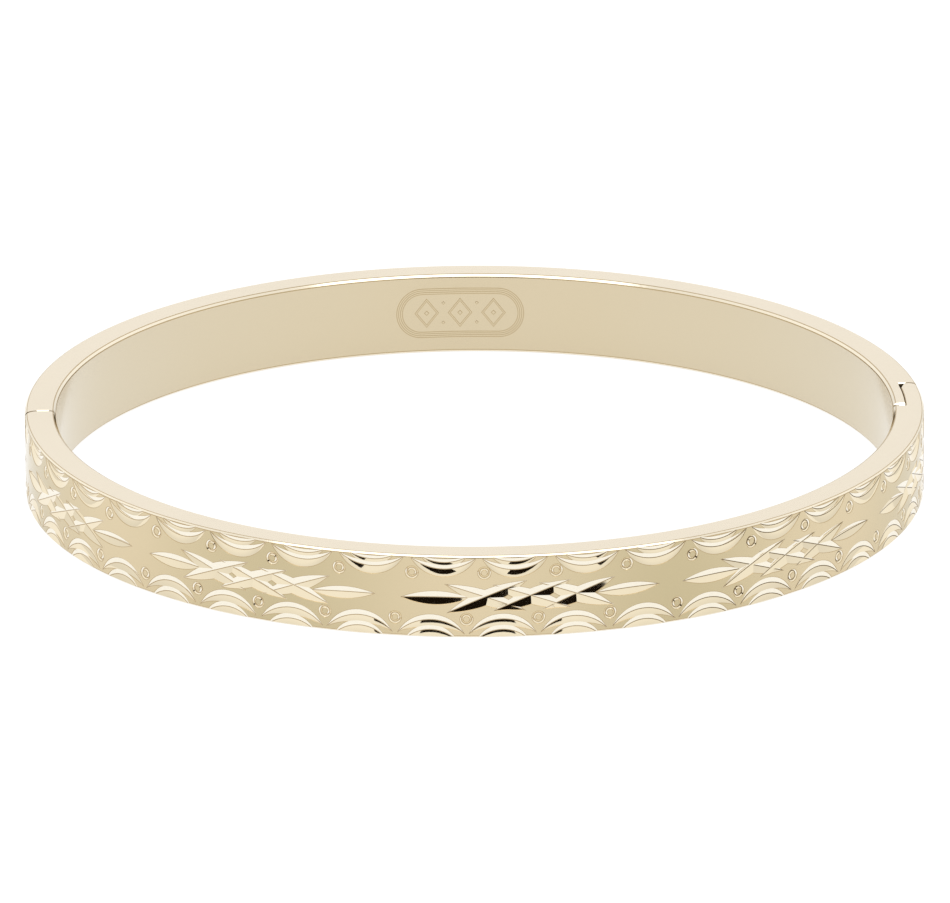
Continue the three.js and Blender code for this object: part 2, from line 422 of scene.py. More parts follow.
def punch(along, up):
    """A ring-shaped punch mark."""
    turn = np.linspace(0, 2 * math.pi, 24, endpoint=False)
    normal = np.stack([np.cos(turn), np.sin(turn)], -1)
    return v_cut(
        np.array([along, up]) + normal * PUNCH_RADIUS,
        normal,
        np.full(len(turn), PUNCH_WIDTH),
        PUNCH_SLOPE,
        closed=True,
    )


def jitter(hand):
    """A function that moves a value at random, by up to a spread either way."""
    return lambda value, spread: value + hand.uniform(-spread, spread)


def motif(along, hand):
    """The cutters of one lattice motif, in its groups."""
    near = jitter(hand)
    groups = []
    for flutes in MOTIF:
        cutters = []
        for aside, up, up_spread, length, width, tilt, tilt_spread, slope in flutes:
            level, turn = near(up, up_spread), near(tilt, tilt_spread)
            cutters.append(flute(along + aside, level, length, width, turn, slope))
        groups.append(cutters)
    return groups


def edge_cuts(hand, arch, swag):
    """One cut of every arch and of every swag."""
    near = jitter(hand)
    arch_crown, *arch_rest = arch
    swag_crown, *swag_rest = swag
    cutters = []
    for i in range(ARCHES):
        place = near(FIRST_ARCH + i * ARCH_PITCH, 0.05)
        cutters.append(crescent(place, 0.0, 1, near(arch_crown, 0.05), *arch_rest))
        place = near(FIRST_SWAG + i * ARCH_PITCH, 0.07)
        cutters.append(crescent(place, HEIGHT, -1, near(swag_crown, 0.04), *swag_rest))
    return cutters


def cusp_punches(hand):
    """The ring marks between the arches and between the swags."""
    near = jitter(hand)
    punches = []
    for i in range(ARCHES):
        cusp = (i + 0.5) * ARCH_PITCH
        punches.append(punch(near(FIRST_ARCH + cusp, 0.06), near(LOW_PUNCH_UP, 0.04)))
        place = FIRST_SWAG + cusp + HIGH_PUNCH_SHIFT
        punches.append(punch(near(place, 0.1), near(HIGH_PUNCH_UP, 0.05)))
    return punches


def engrave(band):
    """Cuts the whole pattern into the band, in passes so that no two cutters of one pass touch."""
    hand = random.Random(11)
    motifs = [motif(FIRST_MOTIF + i * MOTIF_PITCH, hand) for i in range(MOTIFS)]
    passes = [[cutter for cutters in group for cutter in cutters] for group in zip(*motifs)]
    passes += [edge_cuts(hand, arch, swag) for arch, swag in zip(ARCH_CUTS, SWAG_CUTS)]
    passes.append(cusp_punches(hand))
    for cutters in passes:
        combined(band, many(cutters, "cutters"), "DIFFERENCE")
    return band


# ---- cartouche -----------------------------------------------------------------------------------

DIAMOND = np.array([(1, 0), (0, 1), (-1, 0), (0, -1)])


def on_inside(place, height):
    """Points of the inner face, from places about the cartouche's middle and a height above it."""
    turn = math.radians(CARTOUCHE_ANGLE) - place[:, 0] / INNER_RADIUS
    reach = INNER_RADIUS - height
    return np.stack([reach * np.cos(turn), reach * np.sin(turn), CARTOUCHE_UP + place[:, 1]], -1)


def refined(outline):
    """A closed outline with points added along its long edges, to follow the curved face."""
    corners = np.asarray(outline, float)
    points = []
    for start, end in zip(corners, np.roll(corners, -1, 0)):
        steps = max(1, math.ceil(np.linalg.norm(end - start) / RIB_STEP))
        points += [start + (end - start) * i / steps for i in range(steps)]
    return points


def rib(outline, width):
    """A low raised line along a closed outline on the inner face."""
    points = anticlockwise(refined(outline))
    aside = mitres(points)
    foot, crest = width / 2, width / 7
    section = ((-foot, -RIB_SINK), (-crest, RIB_RISE), (crest, RIB_RISE), (foot, -RIB_SINK))
    rings = [on_inside(points + aside * offset, height) for offset, height in section]
    return skin(np.stack(rings, 1), True)


def stud(along, up, size):
    """A small raised lozenge on the inner face."""
    centre = np.array([along, up])
    levels = ((size, -RIB_SINK), (size * 0.55, RIB_RISE))
    return skin([on_inside(centre + DIAMOND * reach, height) for reach, height in levels], False)


def stadium(inset):
    """The outline of the cartouche's border, drawn in by inset."""
    end = CARTOUCHE_HEIGHT / 2
    turns = np.linspace(-90, 90, 25)
    right = [np.array([CARTOUCHE_LENGTH / 2 - end, 0]) + polar(end - inset, turn) for turn in turns]
    return np.array(right + [-point for point in right])


def cartouche():
    """A generic mark: a lozenge pattern in a stadium border."""
    border, inner_border = stadium(0), stadium(BORDER_GAP)
    marks = [rib(border, RIB_WIDTH), rib(inner_border, RIB_WIDTH)]
    for along in (-LOZENGE_PITCH, 0, LOZENGE_PITCH):
        lozenge = [(along + x * LOZENGE[0], y * LOZENGE[1]) for x, y in DIAMOND]
        marks += [rib(lozenge, RIB_WIDTH * 0.8), stud(along, 0, LOZENGE_STUD)]
    for side in (-0.5, 0.5):
        for up in (-SMALL_STUD_UP, SMALL_STUD_UP):
            marks.append(stud(side * LOZENGE_PITCH, up, SMALL_STUD))
    return many(marks, "cartouche")


# ---- band ----------------------------------------------------------------------------------------


def band_profile():
    """The band's section in radius and height, anticlockwise from the outer face's lower end."""
    outer = [(OUTER_RADIUS - inset * OUTER_BEVEL, up * OUTER_BEVEL) for inset, up in BEVEL_SHARES]
    inner = [(INNER_RADIUS + inset * INNER_BEVEL, up * INNER_BEVEL) for inset, up in BEVEL_SHARES]
    upper_outer = [(radius, HEIGHT - up) for radius, up in outer]
    upper_inner = [(radius, HEIGHT - up) for radius, up in inner]
    return outer[::-1] + upper_outer + upper_inner[::-1] + inner


def band_ring():
    """The whole band as one fine ring with bevelled edges."""
    profile = band_profile()
    turns = np.linspace(0, 360, RING_STEPS, endpoint=False)
    size = len(profile)
    vertices = [(*polar(radius, turn), up) for turn in turns for radius, up in profile]
    faces = []
    for i in range(RING_STEPS):
        j = (i + 1) % RING_STEPS
        for k in range(size):
            m = (k + 1) % size
            faces.append((i * size + k, i * size + m, j * size + m, j * size + k))
    return solid(vertices, faces, "band")


# ---- hinge and catch -----------------------------------------------------------------------------

HINGE_ANGLE = LAP_SEAM_ANGLE - degrees_of(PIN_INSET + RUNNING_GAP, OUTER_RADIUS)
HINGE_AXIS = polar(OUTER_RADIUS - PIN_INSET, HINGE_ANGLE)
LAP_INNER_RADIUS = OUTER_RADIUS - PIN_INSET - KNUCKLE_RADIUS
TONGUE_OUTER_RADIUS = LAP_INNER_RADIUS - RUNNING_GAP
NOSE_ANGLE = CATCH_SEAM_ANGLE + degrees_of(SEAM_GAP, OUTER_RADIUS)
FRONT_END_ANGLE = 360 + TONGUE_SEAM_ANGLE - degrees_of(TONGUE_SEAM_GAP, INNER_RADIUS)

SEAM_POINT = polar(OUTER_RADIUS - WALL / 2 - TONGUE_INSET, CATCH_SEAM_ANGLE)


def catch_axes():
    """Directions out of the band and along the catch's path into its socket."""
    swing = SEAM_POINT - HINGE_AXIS
    turn = -TONGUE_REACH / 2 / np.linalg.norm(swing)
    x, y = swing / np.linalg.norm(swing)
    cosine, sine = math.cos(turn), math.sin(turn)
    out = np.array([x * cosine - y * sine, x * sine + y * cosine])
    return out, np.array([out[1], -out[0]])


CATCH_OUT, CATCH_ALONG = catch_axes()


def catch_point(reach, offset):
    return SEAM_POINT + CATCH_ALONG * reach + CATCH_OUT * offset


def catch_plate(outline, low, high):
    return plate([catch_point(reach, offset) for reach, offset in outline], low, high)


def socket():
    half = STRIP_OFFSET + STRIP / 2 + SOCKET_CLEARANCE
    outline = [(-MARGIN, half), (SOCKET_DEPTH, half), (SOCKET_DEPTH, -half), (-MARGIN, -half)]
    return catch_plate(outline, STRIP_LOW - SOCKET_CLEARANCE, STRIP_HIGH + SOCKET_CLEARANCE)


def tongue_root_slot():
    low = -STRIP_OFFSET - STRIP / 2 - RUNNING_GAP
    high = -STRIP_OFFSET + STRIP / 2 + RUNNING_GAP
    end = -TONGUE_ROOT - RUNNING_GAP
    outline = [(MARGIN, low), (end, low), (end, high), (MARGIN, high)]
    return catch_plate(outline, STRIP_LOW - RUNNING_GAP, STRIP_HIGH + RUNNING_GAP)


def hinge_pin_hole():
    return round_plate(HINGE_AXIS, PIN_BORE_RADIUS, -MARGIN, PIN_HOLE_TOP)


def knuckle_slot():
    low, high = KNUCKLE_LOW - CHEEK_GAP, KNUCKLE_HIGH + CHEEK_GAP
    outline = sector(HINGE_ANGLE, LAP_SEAM_ANGLE + MARGIN, INNER_RADIUS)
    made = round_plate(HINGE_AXIS, KNUCKLE_RADIUS + SLOT_RELIEF, low, high)
    return combined(made, plate(outline, low, high), "UNION")


def middle_knuckle():
    """The back half's knuckle, with the web that holds it."""
    within, outside = TONGUE_OUTER_RADIUS - RUNNING_GAP, OUTER_RADIUS - WEB_INSET
    outline = sector(HINGE_ANGLE, LAP_SEAM_ANGLE + ROOT_OVERLAP, within, outside)
    made = round_plate(HINGE_AXIS, KNUCKLE_RADIUS, KNUCKLE_LOW, KNUCKLE_HIGH)
    return combined(made, plate(outline, KNUCKLE_LOW, KNUCKLE_HIGH), "UNION")


# ---- halves --------------------------------------------------------------------------------------


def nose_corner(face_radius, facing, rounding):
    """Centre of an upright rounding at the front half's catch end, and its angle round the band."""
    centre_radius = face_radius - facing * rounding
    angle = NOSE_ANGLE + degrees_of(rounding, centre_radius)
    return polar(centre_radius, angle), angle


def front_sector():
    """Plan of the front half from its rounded nose to its inner end at the hinge."""
    outer, outer_angle = nose_corner(OUTER_RADIUS, 1, NOSE_OUTER_ROUND)
    inner, inner_angle = nose_corner(INNER_RADIUS, -1, NOSE_INNER_ROUND)
    return (
        corner_arc(inner, NOSE_INNER_ROUND, inner_angle + 180, inner_angle + 270)
        + corner_arc(outer, NOSE_OUTER_ROUND, outer_angle - 90, outer_angle)
        + arc(OUTER_RADIUS + MARGIN, outer_angle, FRONT_END_ANGLE)
        + arc(INNER_RADIUS - MARGIN, FRONT_END_ANGLE, inner_angle)
    )


def reduced(target, tools):
    for tool in tools:
        combined(target, tool, "DIFFERENCE")
    return target


def around(angle):
    """The direction of growing angle, at an angle."""
    return polar(1, angle + 90)


def front_keep():
    made = plate(front_sector(), -MARGIN, HEIGHT + MARGIN)
    lap = wedge(TONGUE_SEAM_ANGLE - MARGIN, HINGE_ANGLE, LAP_INNER_RADIUS)
    combined(made, lap, "UNION")
    combined(made, round_plate(HINGE_AXIS, LAP_ROUND, -MARGIN, HEIGHT + MARGIN), "UNION")
    reduced(made, (lap_notch(), knuckle_slot(), hinge_pin_hole(), tongue_root_slot()))
    return reduced(made, front_breaks())


def lap_notch():
    """Clears the inner corner of the lap's end, where the photo shows a dark triangle."""
    corner = polar(LAP_INNER_RADIUS, LAP_SEAM_ANGLE)
    out, along = polar(1, LAP_SEAM_ANGLE), -around(LAP_SEAM_ANGLE)
    inner = corner - out * NOTCH_OVERLAP
    outline = anticlockwise([inner, corner + out * NOTCH_OUT, inner + along * NOTCH_ALONG])
    return plate(outline, -MARGIN, HEIGHT + MARGIN)


def nose_outline():
    """Points of the nose's two roundings, and the ways that they face."""
    points, outwards = [], []
    inner = (INNER_RADIUS, -1, NOSE_INNER_ROUND, 180)
    outer = (OUTER_RADIUS, 1, NOSE_OUTER_ROUND, 270)
    for face_radius, facing, rounding, turned in (inner, outer):
        centre, angle = nose_corner(face_radius, facing, rounding)
        for turn in np.linspace(angle + turned, angle + turned + 90, 25):
            points.append(centre + polar(rounding, turn))
            outwards.append(polar(1, turn))
    return points, outwards


def front_breaks():
    """Small chamfers along the front half's seams."""
    end = FRONT_END_ANGLE
    face = [polar(INNER_RADIUS - MARGIN, end), polar(LAP_INNER_RADIUS, end)]
    bars = rim_breaks(face, around(end), FRONT_END_BREAK)
    inner_corner = polar(INNER_RADIUS, end)
    bars.append(upright_break(inner_corner, around(end), -polar(1, end), INNER_CORNER_BREAK))
    turns = np.linspace(end - 360, HINGE_ANGLE, 30)
    under = [polar(LAP_INNER_RADIUS, turn) for turn in turns]
    bars += rim_breaks(under, [-polar(1, turn) for turn in turns], LAP_UNDER_BREAK)
    turns = np.linspace(HINGE_ANGLE - 10, HINGE_ANGLE + 190, 50)
    lap_end = [HINGE_AXIS + polar(LAP_ROUND, turn) for turn in turns]
    bars += rim_breaks(lap_end, [polar(1, turn) for turn in turns], LAP_ROUND_BREAK)
    return bars + rim_breaks(*nose_outline(), NOSE_BREAK)


def shoulder_lip():
    """The short lip of the back half's shoulder that follows the front half's rounded lap end."""
    start = LAP_SEAM_ANGLE - degrees_of(SHOULDER_LIP, OUTER_RADIUS)
    made = wedge(start, LAP_SEAM_ANGLE + ROOT_OVERLAP, OUTER_RADIUS - PIN_INSET)
    room = round_plate(HINGE_AXIS, LAP_ROUND + RUNNING_GAP, -MARGIN, HEIGHT + MARGIN)
    return combined(made, room, "DIFFERENCE")


def catch_lip(face_radius, facing, rounding, reach):
    """A short lip of the back half's catch end that follows one of the nose's roundings."""
    centre, _ = nose_corner(face_radius, facing, rounding)
    end = CATCH_SEAM_ANGLE + degrees_of(reach, face_radius)
    radii = sorted((face_radius - facing * rounding, face_radius + facing * MARGIN))
    made = wedge(CATCH_SEAM_ANGLE - ROOT_OVERLAP, end, *radii)
    room = round_plate(centre, rounding + SEAM_GAP, -MARGIN, HEIGHT + MARGIN)
    return combined(made, room, "DIFFERENCE")


def back_keep():
    made = wedge(LAP_SEAM_ANGLE, CATCH_SEAM_ANGLE)
    within = INNER_RADIUS - MARGIN
    tongue = wedge(TONGUE_SEAM_ANGLE, LAP_SEAM_ANGLE + ROOT_OVERLAP, within, TONGUE_OUTER_RADIUS)
    outer_lip = catch_lip(OUTER_RADIUS, 1, NOSE_OUTER_ROUND, OUTER_LIP)
    inner_lip = catch_lip(INNER_RADIUS, -1, NOSE_INNER_ROUND, INNER_LIP)
    for piece in (tongue, shoulder_lip(), outer_lip, inner_lip):
        combined(made, piece, "UNION")
    return reduced(made, back_breaks())


def back_breaks():
    """Small chamfers along the back half's seams."""
    shoulder, tongue, catch = LAP_SEAM_ANGLE, TONGUE_SEAM_ANGLE, CATCH_SEAM_ANGLE
    corner = [polar(TONGUE_OUTER_RADIUS + out, shoulder) for out in (0, SHOULDER_BREAK_REACH)]
    bars = rim_breaks(corner, -around(shoulder), SHOULDER_BREAK)
    radii = (INNER_RADIUS - MARGIN, INNER_RADIUS + TONGUE_WIDE_FROM, TONGUE_OUTER_RADIUS)
    inner_end, split, outer_end = (polar(radius, tongue) for radius in radii)
    bars += rim_breaks([inner_end, split], -around(tongue), TONGUE_END_BREAK)
    bars += rim_breaks([split, outer_end], -around(tongue), TONGUE_END_WIDE_BREAK)
    inner_corner = polar(INNER_RADIUS, tongue)
    bars.append(upright_break(inner_corner, -around(tongue), -polar(1, tongue), INNER_CORNER_BREAK))
    turns = np.linspace(tongue, shoulder, 30)
    over = [polar(TONGUE_OUTER_RADIUS, turn) for turn in turns]
    bars += rim_breaks(over, [polar(1, turn) for turn in turns], TONGUE_OVER_BREAK)
    radii = (INNER_RADIUS + NOSE_INNER_ROUND, OUTER_RADIUS - NOSE_OUTER_ROUND)
    flat = [polar(radius, catch) for radius in radii]
    return bars + rim_breaks(flat, around(catch), CATCH_BREAK)


def copy_of(piece, name):
    made = bpy.data.objects.new(name, piece.data.copy())
    bpy.context.scene.collection.objects.link(made)
    return made


def front_half(band):
    return combined(copy_of(band, "front_band"), front_keep(), "INTERSECT")


def back_half(band):
    made = combined(copy_of(band, "back_band"), back_keep(), "INTERSECT")
    combined(made, middle_knuckle(), "UNION")
    catch_centre = catch_point(CATCH_PIN_AT, CATCH_PIN_OFFSET)
    hole = round_plate(catch_centre, CATCH_PIN_HOLE_RADIUS, -MARGIN, CATCH_PIN_HOLE_TOP)
    reduced(made, (hinge_pin_hole(), socket(), hole))
    return combined(made, cartouche(), "UNION")


def pin(centre, radius, low, high, name):
    outline = [centre + polar(radius, turn) for turn in range(0, 360, 5)]
    return trimmed_plate(outline, low, high, PIN_TRIM, name)


def catch_strip(outline, low, high, name):
    points = [catch_point(reach, offset) for reach, offset in outline]
    return trimmed_plate(points, low, high, STRIP_TRIM, name)


def tongue_strip():
    """The fixed leaf, with the fold at its tip."""
    low, high = -STRIP_OFFSET - STRIP / 2, -STRIP_OFFSET + STRIP / 2
    bend = STRIP_OFFSET + STRIP / 2
    fold = np.array([TONGUE_REACH - bend, 0])
    turns = np.linspace(-90, 90, 25)
    outside = [fold + polar(bend, turn) for turn in turns]
    inside = [fold + polar(bend - STRIP, turn) for turn in turns[::-1]]
    outline = [(-TONGUE_ROOT, high), (-TONGUE_ROOT, low), *outside, *inside]
    return catch_strip(outline, STRIP_LOW, STRIP_HIGH, "catch_tongue_strip")


def leaf_strip():
    """The free leaf, with a ramped barb at its end."""
    low, high = STRIP_OFFSET - STRIP / 2, STRIP_OFFSET + STRIP / 2 - LEAF_GAP
    crest = high + BARB_HEIGHT
    outline = [
        (LEAF_START, low),
        (LEAF_END, low),
        (LEAF_END, high),
        (LEAF_START + BARB_LENGTH, high),
        (LEAF_START + BARB_LENGTH / 3, crest),
        (LEAF_START + BARB_LENGTH / 6, crest),
        (LEAF_START, high),
    ]
    return catch_strip(outline, STRIP_LOW + LEAF_GAP, STRIP_HIGH - LEAF_GAP, "spring_leaf_strip")


def settle(piece, body, nodes, materials):
    """Scales a piece to metres, shades it and ties it to the frame."""
    piece.data.materials.clear()
    for material in materials:
        piece.data.materials.append(material)
    if len(materials) > 1:
        sort_faces(piece)
    piece.data.transform(Matrix.Scale(MM, 4))
    piece.data.shade_smooth()
    piece.data.set_sharp_from_angle(angle=math.radians(SMOOTH_ANGLE))
    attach(piece, body)
    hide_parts(*nodes)


def sort_faces(piece):
    """Gives each face of a half its finish and painted light, as an index into
    FINISHES_AND_PAINTED_LIGHT.
    """
    mesh = piece.data
    count = len(mesh.polygons)
    normal, centre = np.zeros(count * 3), np.zeros(count * 3)
    mesh.polygons.foreach_get("normal", normal)
    mesh.polygons.foreach_get("center", centre)
    normal, centre = normal.reshape(-1, 3), centre.reshape(-1, 3)
    reach = np.linalg.norm(centre[:, :2], axis=1)
    outwards = (normal[:, :2] * centre[:, :2]).sum(1) / reach
    upwards = normal[:, 2]
    # Faces that no test below claims, in the seams, hinge and catch, get the darker colour of
    # painted shade
    finish_and_light = np.full(count, FINISHES_AND_PAINTED_LIGHT.index("joint_shade"), np.int32)

    def give(name, faces):
        finish_and_light[faces] = FINISHES_AND_PAINTED_LIGHT.index(name)

    slanted = (np.abs(upwards) > SLANTED[0]) & (np.abs(upwards) < SLANTED[1])
    # Chamfers of the seams: painted shade lines on the front half, a painted highlight on the back
    # half
    give("shade_line" if piece.name.startswith("front") else "bevel_highlight", slanted)
    engraved = (reach > OUTER_RADIUS - CUT_REACH) & (outwards > CUT_OUT)
    engraved &= np.abs(upwards) < CUT_UP
    # Cut walls that face down get a painted highlight, those that face up a painted tan reflection
    give("cut_up_reflection", engraved & (upwards > 0))
    give("cut_down_highlight", engraved & (upwards <= 0))
    # The cuts' steep rims get painted shade lines
    give("shade_line", engraved & (outwards < STEEP_RIM))
    # The cuts' valleys get painted shade
    give("valley", engraved & (outwards > LEVEL_VALLEY))
    web = np.abs(reach - (OUTER_RADIUS - WEB_INSET)) < ON_FACE
    give("wall", web & (outwards > WEB_SQUARE))
    inside = (reach < INNER_RADIUS) & (outwards < INSIDE_OUT)
    give("inside", inside)
    # The raised mark's slopes get painted shade
    give("relief", inside & (outwards > LEVEL_RIB))
    section = band_profile()
    for i, (radius, up) in enumerate(section):
        end_radius, end_up = section[(i + 1) % len(section)]
        length = math.hypot(end_radius - radius, end_up - up)
        facing = (end_up - up) / length, -(end_radius - radius) / length
        away = (reach - radius) * facing[0] + (centre[:, 2] - up) * facing[1]
        aligned = outwards * facing[0] + upwards * facing[1]
        give(band_finish_and_light(facing), (np.abs(away) < ON_FACE) & (aligned > FACE_SQUARE))
    mesh.polygons.foreach_set("material_index", finish_and_light)


def band_finish_and_light(facing):
    """The finish and painted light of a strip of the band's section, from the way that it faces: the
    roundings' middle facets get a painted highlight, and their narrow facets painted shade lines.
    """
    outwards, upwards = facing
    if abs(outwards) > 0.99:
        return "wall" if outwards > 0 else "inside"
    if abs(upwards) > 0.99:
        return "edge"
    return "bevel_highlight" if min(abs(outwards), abs(upwards)) > 0.6 else "shade_line"


# ---- materials -----------------------------------------------------------------------------------

# Finishes and painted light of the gold: colour, the colour that it drifts to, roughness, its
# spread, scratches, and the drift's waves round the band, 0 for a cloudy drift, or -1 for a drift
# towards the hinge. Waves paint bands of shade and reflection round the band, and -1 paints shade
# that grows towards the hinge. Paler colours paint highlights and reflections, darker ones paint
# shade.
GOLDS = {
    # Waves of the outer and inner faces paint bands round the band: darker shade outside, paler
    # reflection inside
    "wall": ((0.70, 0.585, 0.39), (0.545, 0.46, 0.28), 0.10, 0.02, 0.05, 7),
    "inside": ((0.65, 0.55, 0.375), (0.68, 0.61, 0.475), 0.16, 0.03, 0.05, 2),
    # The raised mark's slopes: darker, painted shade
    "relief": ((0.50, 0.39, 0.22), (0.47, 0.36, 0.20), 0.2, 0.03, 0.03, 0),
    # The flat top and bottom: a rougher satin polish, and a paler colour that paints their highlight
    "edge": ((0.80, 0.71, 0.56), (0.76, 0.67, 0.52), 0.22, 0.03, 0.08, 0),
    # The roundings' middle facets and the back half's chamfers: a paler painted highlight
    "bevel_highlight": ((0.88, 0.80, 0.64), (0.86, 0.77, 0.60), 0.10, 0.02, 0.03, 0),
    # Cut walls that face down: a pale painted highlight; cut walls that face up: a tan painted
    # reflection
    "cut_down_highlight": ((0.92, 0.87, 0.75), (0.88, 0.82, 0.69), 0.05, 0.015, 0.02, 0),
    "cut_up_reflection": ((0.85, 0.745, 0.55), (0.79, 0.69, 0.49), 0.05, 0.015, 0.02, 0),
    # The roundings' narrow facets, the cuts' steep rims and the front half's chamfers: painted shade
    # lines
    "shade_line": ((0.52, 0.39, 0.22), (0.42, 0.31, 0.16), 0.30, 0.05, 0.03, 0),
    # The cuts' valleys: painted shade, darkest towards the hinge's side
    "valley": ((0.44, 0.33, 0.19), (0.15, 0.10, 0.045), 0.30, 0.05, 0.03, -1),
    # Faces in the seams, hinge and catch: rough and unpolished, and darker as painted shade
    "joint_shade": ((0.48, 0.38, 0.23), (0.40, 0.31, 0.18), 0.40, 0.05, 0.10, 0),
}
FINISHES_AND_PAINTED_LIGHT = list(GOLDS)
CLOUD_SCALE = 90  # noise cells per metre
GRAIN_SCALE = 2400
LINE_SCALE = 9000
BRUSHED_SCALE = (3000, 3000, 300)
BUMP_HEIGHT = 0.00001
CUT_REACH = 0.6  # depth of the layer that holds the engraving
ON_FACE = 0.002  # how far from a face of the band its own faces may lie

# How far outwards or upwards faces face, from -1 to 1
FACE_SQUARE = 0.9998  # along a face of the band's section, at least
WEB_SQUARE = 0.9999  # outwards for the knuckle's web, at least
SLANTED = (0.3, 0.95)  # up or down for a chamfer
CUT_OUT = 0.6  # outwards for the engraving, at least
CUT_UP = 0.8  # and up or down, at most
INSIDE_OUT = -0.3  # outwards for the inner face, at most
STEEP_RIM = 0.775  # how far outwards a cut's steep rims face at most
LEVEL_VALLEY = 0.985  # and its valley at least
LEVEL_RIB = -0.997  # how far outwards the plain inner face faces at most


def material_base(name, colour, roughness, metallic=1.0):
    material = bpy.data.materials.new(name)
    material.use_nodes = True
    shader = material.node_tree.nodes["Principled BSDF"]
    shader.inputs["Base Color"].default_value = (*colour, 1)
    shader.inputs["Metallic"].default_value = metallic
    shader.inputs["Roughness"].default_value = roughness
    return material, material.node_tree.nodes, material.node_tree.links, shader


def noise(nodes, links, place, scale, detail):
    cloud = nodes.new("ShaderNodeTexNoise")
    cloud.inputs["Scale"].default_value = scale
    cloud.inputs["Detail"].default_value = detail
    links.new(place, cloud.inputs["Vector"])
    return cloud.outputs["Fac"]


def parted(nodes, links, place):
    """The X, Y and Z outputs of a place."""
    split = nodes.new("ShaderNodeSeparateXYZ")
    links.new(place, split.inputs["Vector"])
    return split.outputs["X"], split.outputs["Y"], split.outputs["Z"]


def calculate(nodes, links, operation, *values):
    """The output of a math node on sockets or numbers."""
    node = nodes.new("ShaderNodeMath")
    node.operation = operation
    for entry, value in zip(node.inputs, values):
        if isinstance(value, (int, float)):
            entry.default_value = value
        else:
            links.new(value, entry)
    return node.outputs["Value"]


def banded(nodes, links, place, cloud, waves):
    """A drift that rises and falls waves times round the band, lowest at the front, with a little
    random unevenness: painted bands of shade on the outer face and of paler reflection on the inner
    face.
    """
    x, y, _ = parted(nodes, links, place)
    turn = calculate(nodes, links, "ARCTAN2", x, calculate(nodes, links, "MULTIPLY", y, -1.0))
    phase = calculate(nodes, links, "MULTIPLY", turn, float(waves))
    swell = calculate(nodes, links, "COSINE", phase)
    level = calculate(nodes, links, "MULTIPLY_ADD", swell, -0.4, 0.4)
    unevenness = calculate(nodes, links, "MULTIPLY", cloud, 0.2)
    return calculate(nodes, links, "ADD", level, unevenness)


def sideways(nodes, links, place):
    """A drift that grows from the front's middle towards the hinge's side: painted shade that
    darkens the cuts' valleys there.
    """
    grow = nodes.new("ShaderNodeMapRange")
    grow.inputs["From Min"].default_value = 0.004
    grow.inputs["From Max"].default_value = 0.018
    links.new(parted(nodes, links, place)[0], grow.inputs["Value"])
    return grow.outputs["Result"]


def drifting_colour(nodes, links, place, colour, tint_and_painted_light, waves):
    drift = noise(nodes, links, place, CLOUD_SCALE, 3)
    # Waves above 0 paint bands of shade and reflection round the band; -1 paints shade towards the
    # hinge's side
    if waves > 0:
        drift = banded(nodes, links, place, drift, waves)
    elif waves < 0:
        drift = sideways(nodes, links, place)
    blend = nodes.new("ShaderNodeMix")
    blend.data_type = "RGBA"
    blend.inputs["A"].default_value = (*colour, 1)
    blend.inputs["B"].default_value = (*tint_and_painted_light, 1)
    links.new(drift, blend.inputs["Factor"])
    return blend.outputs["Result"]


def uneven_polish(nodes, links, grain, roughness, spread, low=0.0, high=1.0):
    """A roughness that follows a grain, whose values lie mostly between low and high."""
    polish = nodes.new("ShaderNodeMapRange")
    polish.inputs["From Min"].default_value = low
    polish.inputs["From Max"].default_value = high
    polish.inputs["To Min"].default_value = roughness - spread
    polish.inputs["To Max"].default_value = roughness + spread
    links.new(grain, polish.inputs["Value"])
    return polish.outputs["Result"]


def fine_bump(nodes, links, height, strength):
    bump = nodes.new("ShaderNodeBump")
    bump.inputs["Strength"].default_value = strength
    bump.inputs["Distance"].default_value = BUMP_HEIGHT
    links.new(height, bump.inputs["Height"])
    return bump.outputs["Normal"]


def turned_lines(nodes, links, place):
    """Fine lines that run round the band, as a lathe leaves them."""
    x, y, z = parted(nodes, links, place)
    flat = nodes.new("ShaderNodeCombineXYZ")
    links.new(x, flat.inputs["X"])
    links.new(y, flat.inputs["Y"])
    reach = nodes.new("ShaderNodeVectorMath")
    reach.operation = "LENGTH"
    links.new(flat.outputs["Vector"], reach.inputs[0])
    lathe = nodes.new("ShaderNodeCombineXYZ")
    links.new(reach.outputs["Value"], lathe.inputs["X"])
    links.new(z, lathe.inputs["Y"])
    return noise(nodes, links, lathe.outputs["Vector"], LINE_SCALE, 2)


def gold(name, colour, tint_and_painted_light, roughness, spread, scratch, waves):
    """Polished pale gold: colour drifting to a second colour, uneven polish, and fine lines round
    the
    band. Some drifts are painted light: bands of shade and reflection round the band, and shade
    towards the hinge's side.
    """
    material, nodes, links, shader = material_base(name, colour, roughness)
    place = nodes.new("ShaderNodeTexCoord").outputs["Object"]
    drift = drifting_colour(nodes, links, place, colour, tint_and_painted_light, waves)
    grain = noise(nodes, links, place, GRAIN_SCALE, 4)
    polish = uneven_polish(nodes, links, grain, roughness, spread, 0.3, 0.7)
    lines = fine_bump(nodes, links, turned_lines(nodes, links, place), scratch)
    links.new(drift, shader.inputs["Base Color"])
    links.new(polish, shader.inputs["Roughness"])
    links.new(lines, shader.inputs["Normal"])
    return material


def steel(name, colour, roughness):
    """Brushed steel, its grain drawn out along the height."""
    material, nodes, links, shader = material_base(name, colour, roughness)
    place = nodes.new("ShaderNodeTexCoord").outputs["Object"]
    stretch = nodes.new("ShaderNodeMapping")
    stretch.inputs["Scale"].default_value = BRUSHED_SCALE
    links.new(place, stretch.inputs["Vector"])
    grain = noise(nodes, links, stretch.outputs["Vector"], 1, 4)
    links.new(uneven_polish(nodes, links, grain, roughness, 0.1), shader.inputs["Roughness"])
    links.new(fine_bump(nodes, links, grain, 0.2), shader.inputs["Normal"])
    return material


# ---- studio --------------------------------------------------------------------------------------


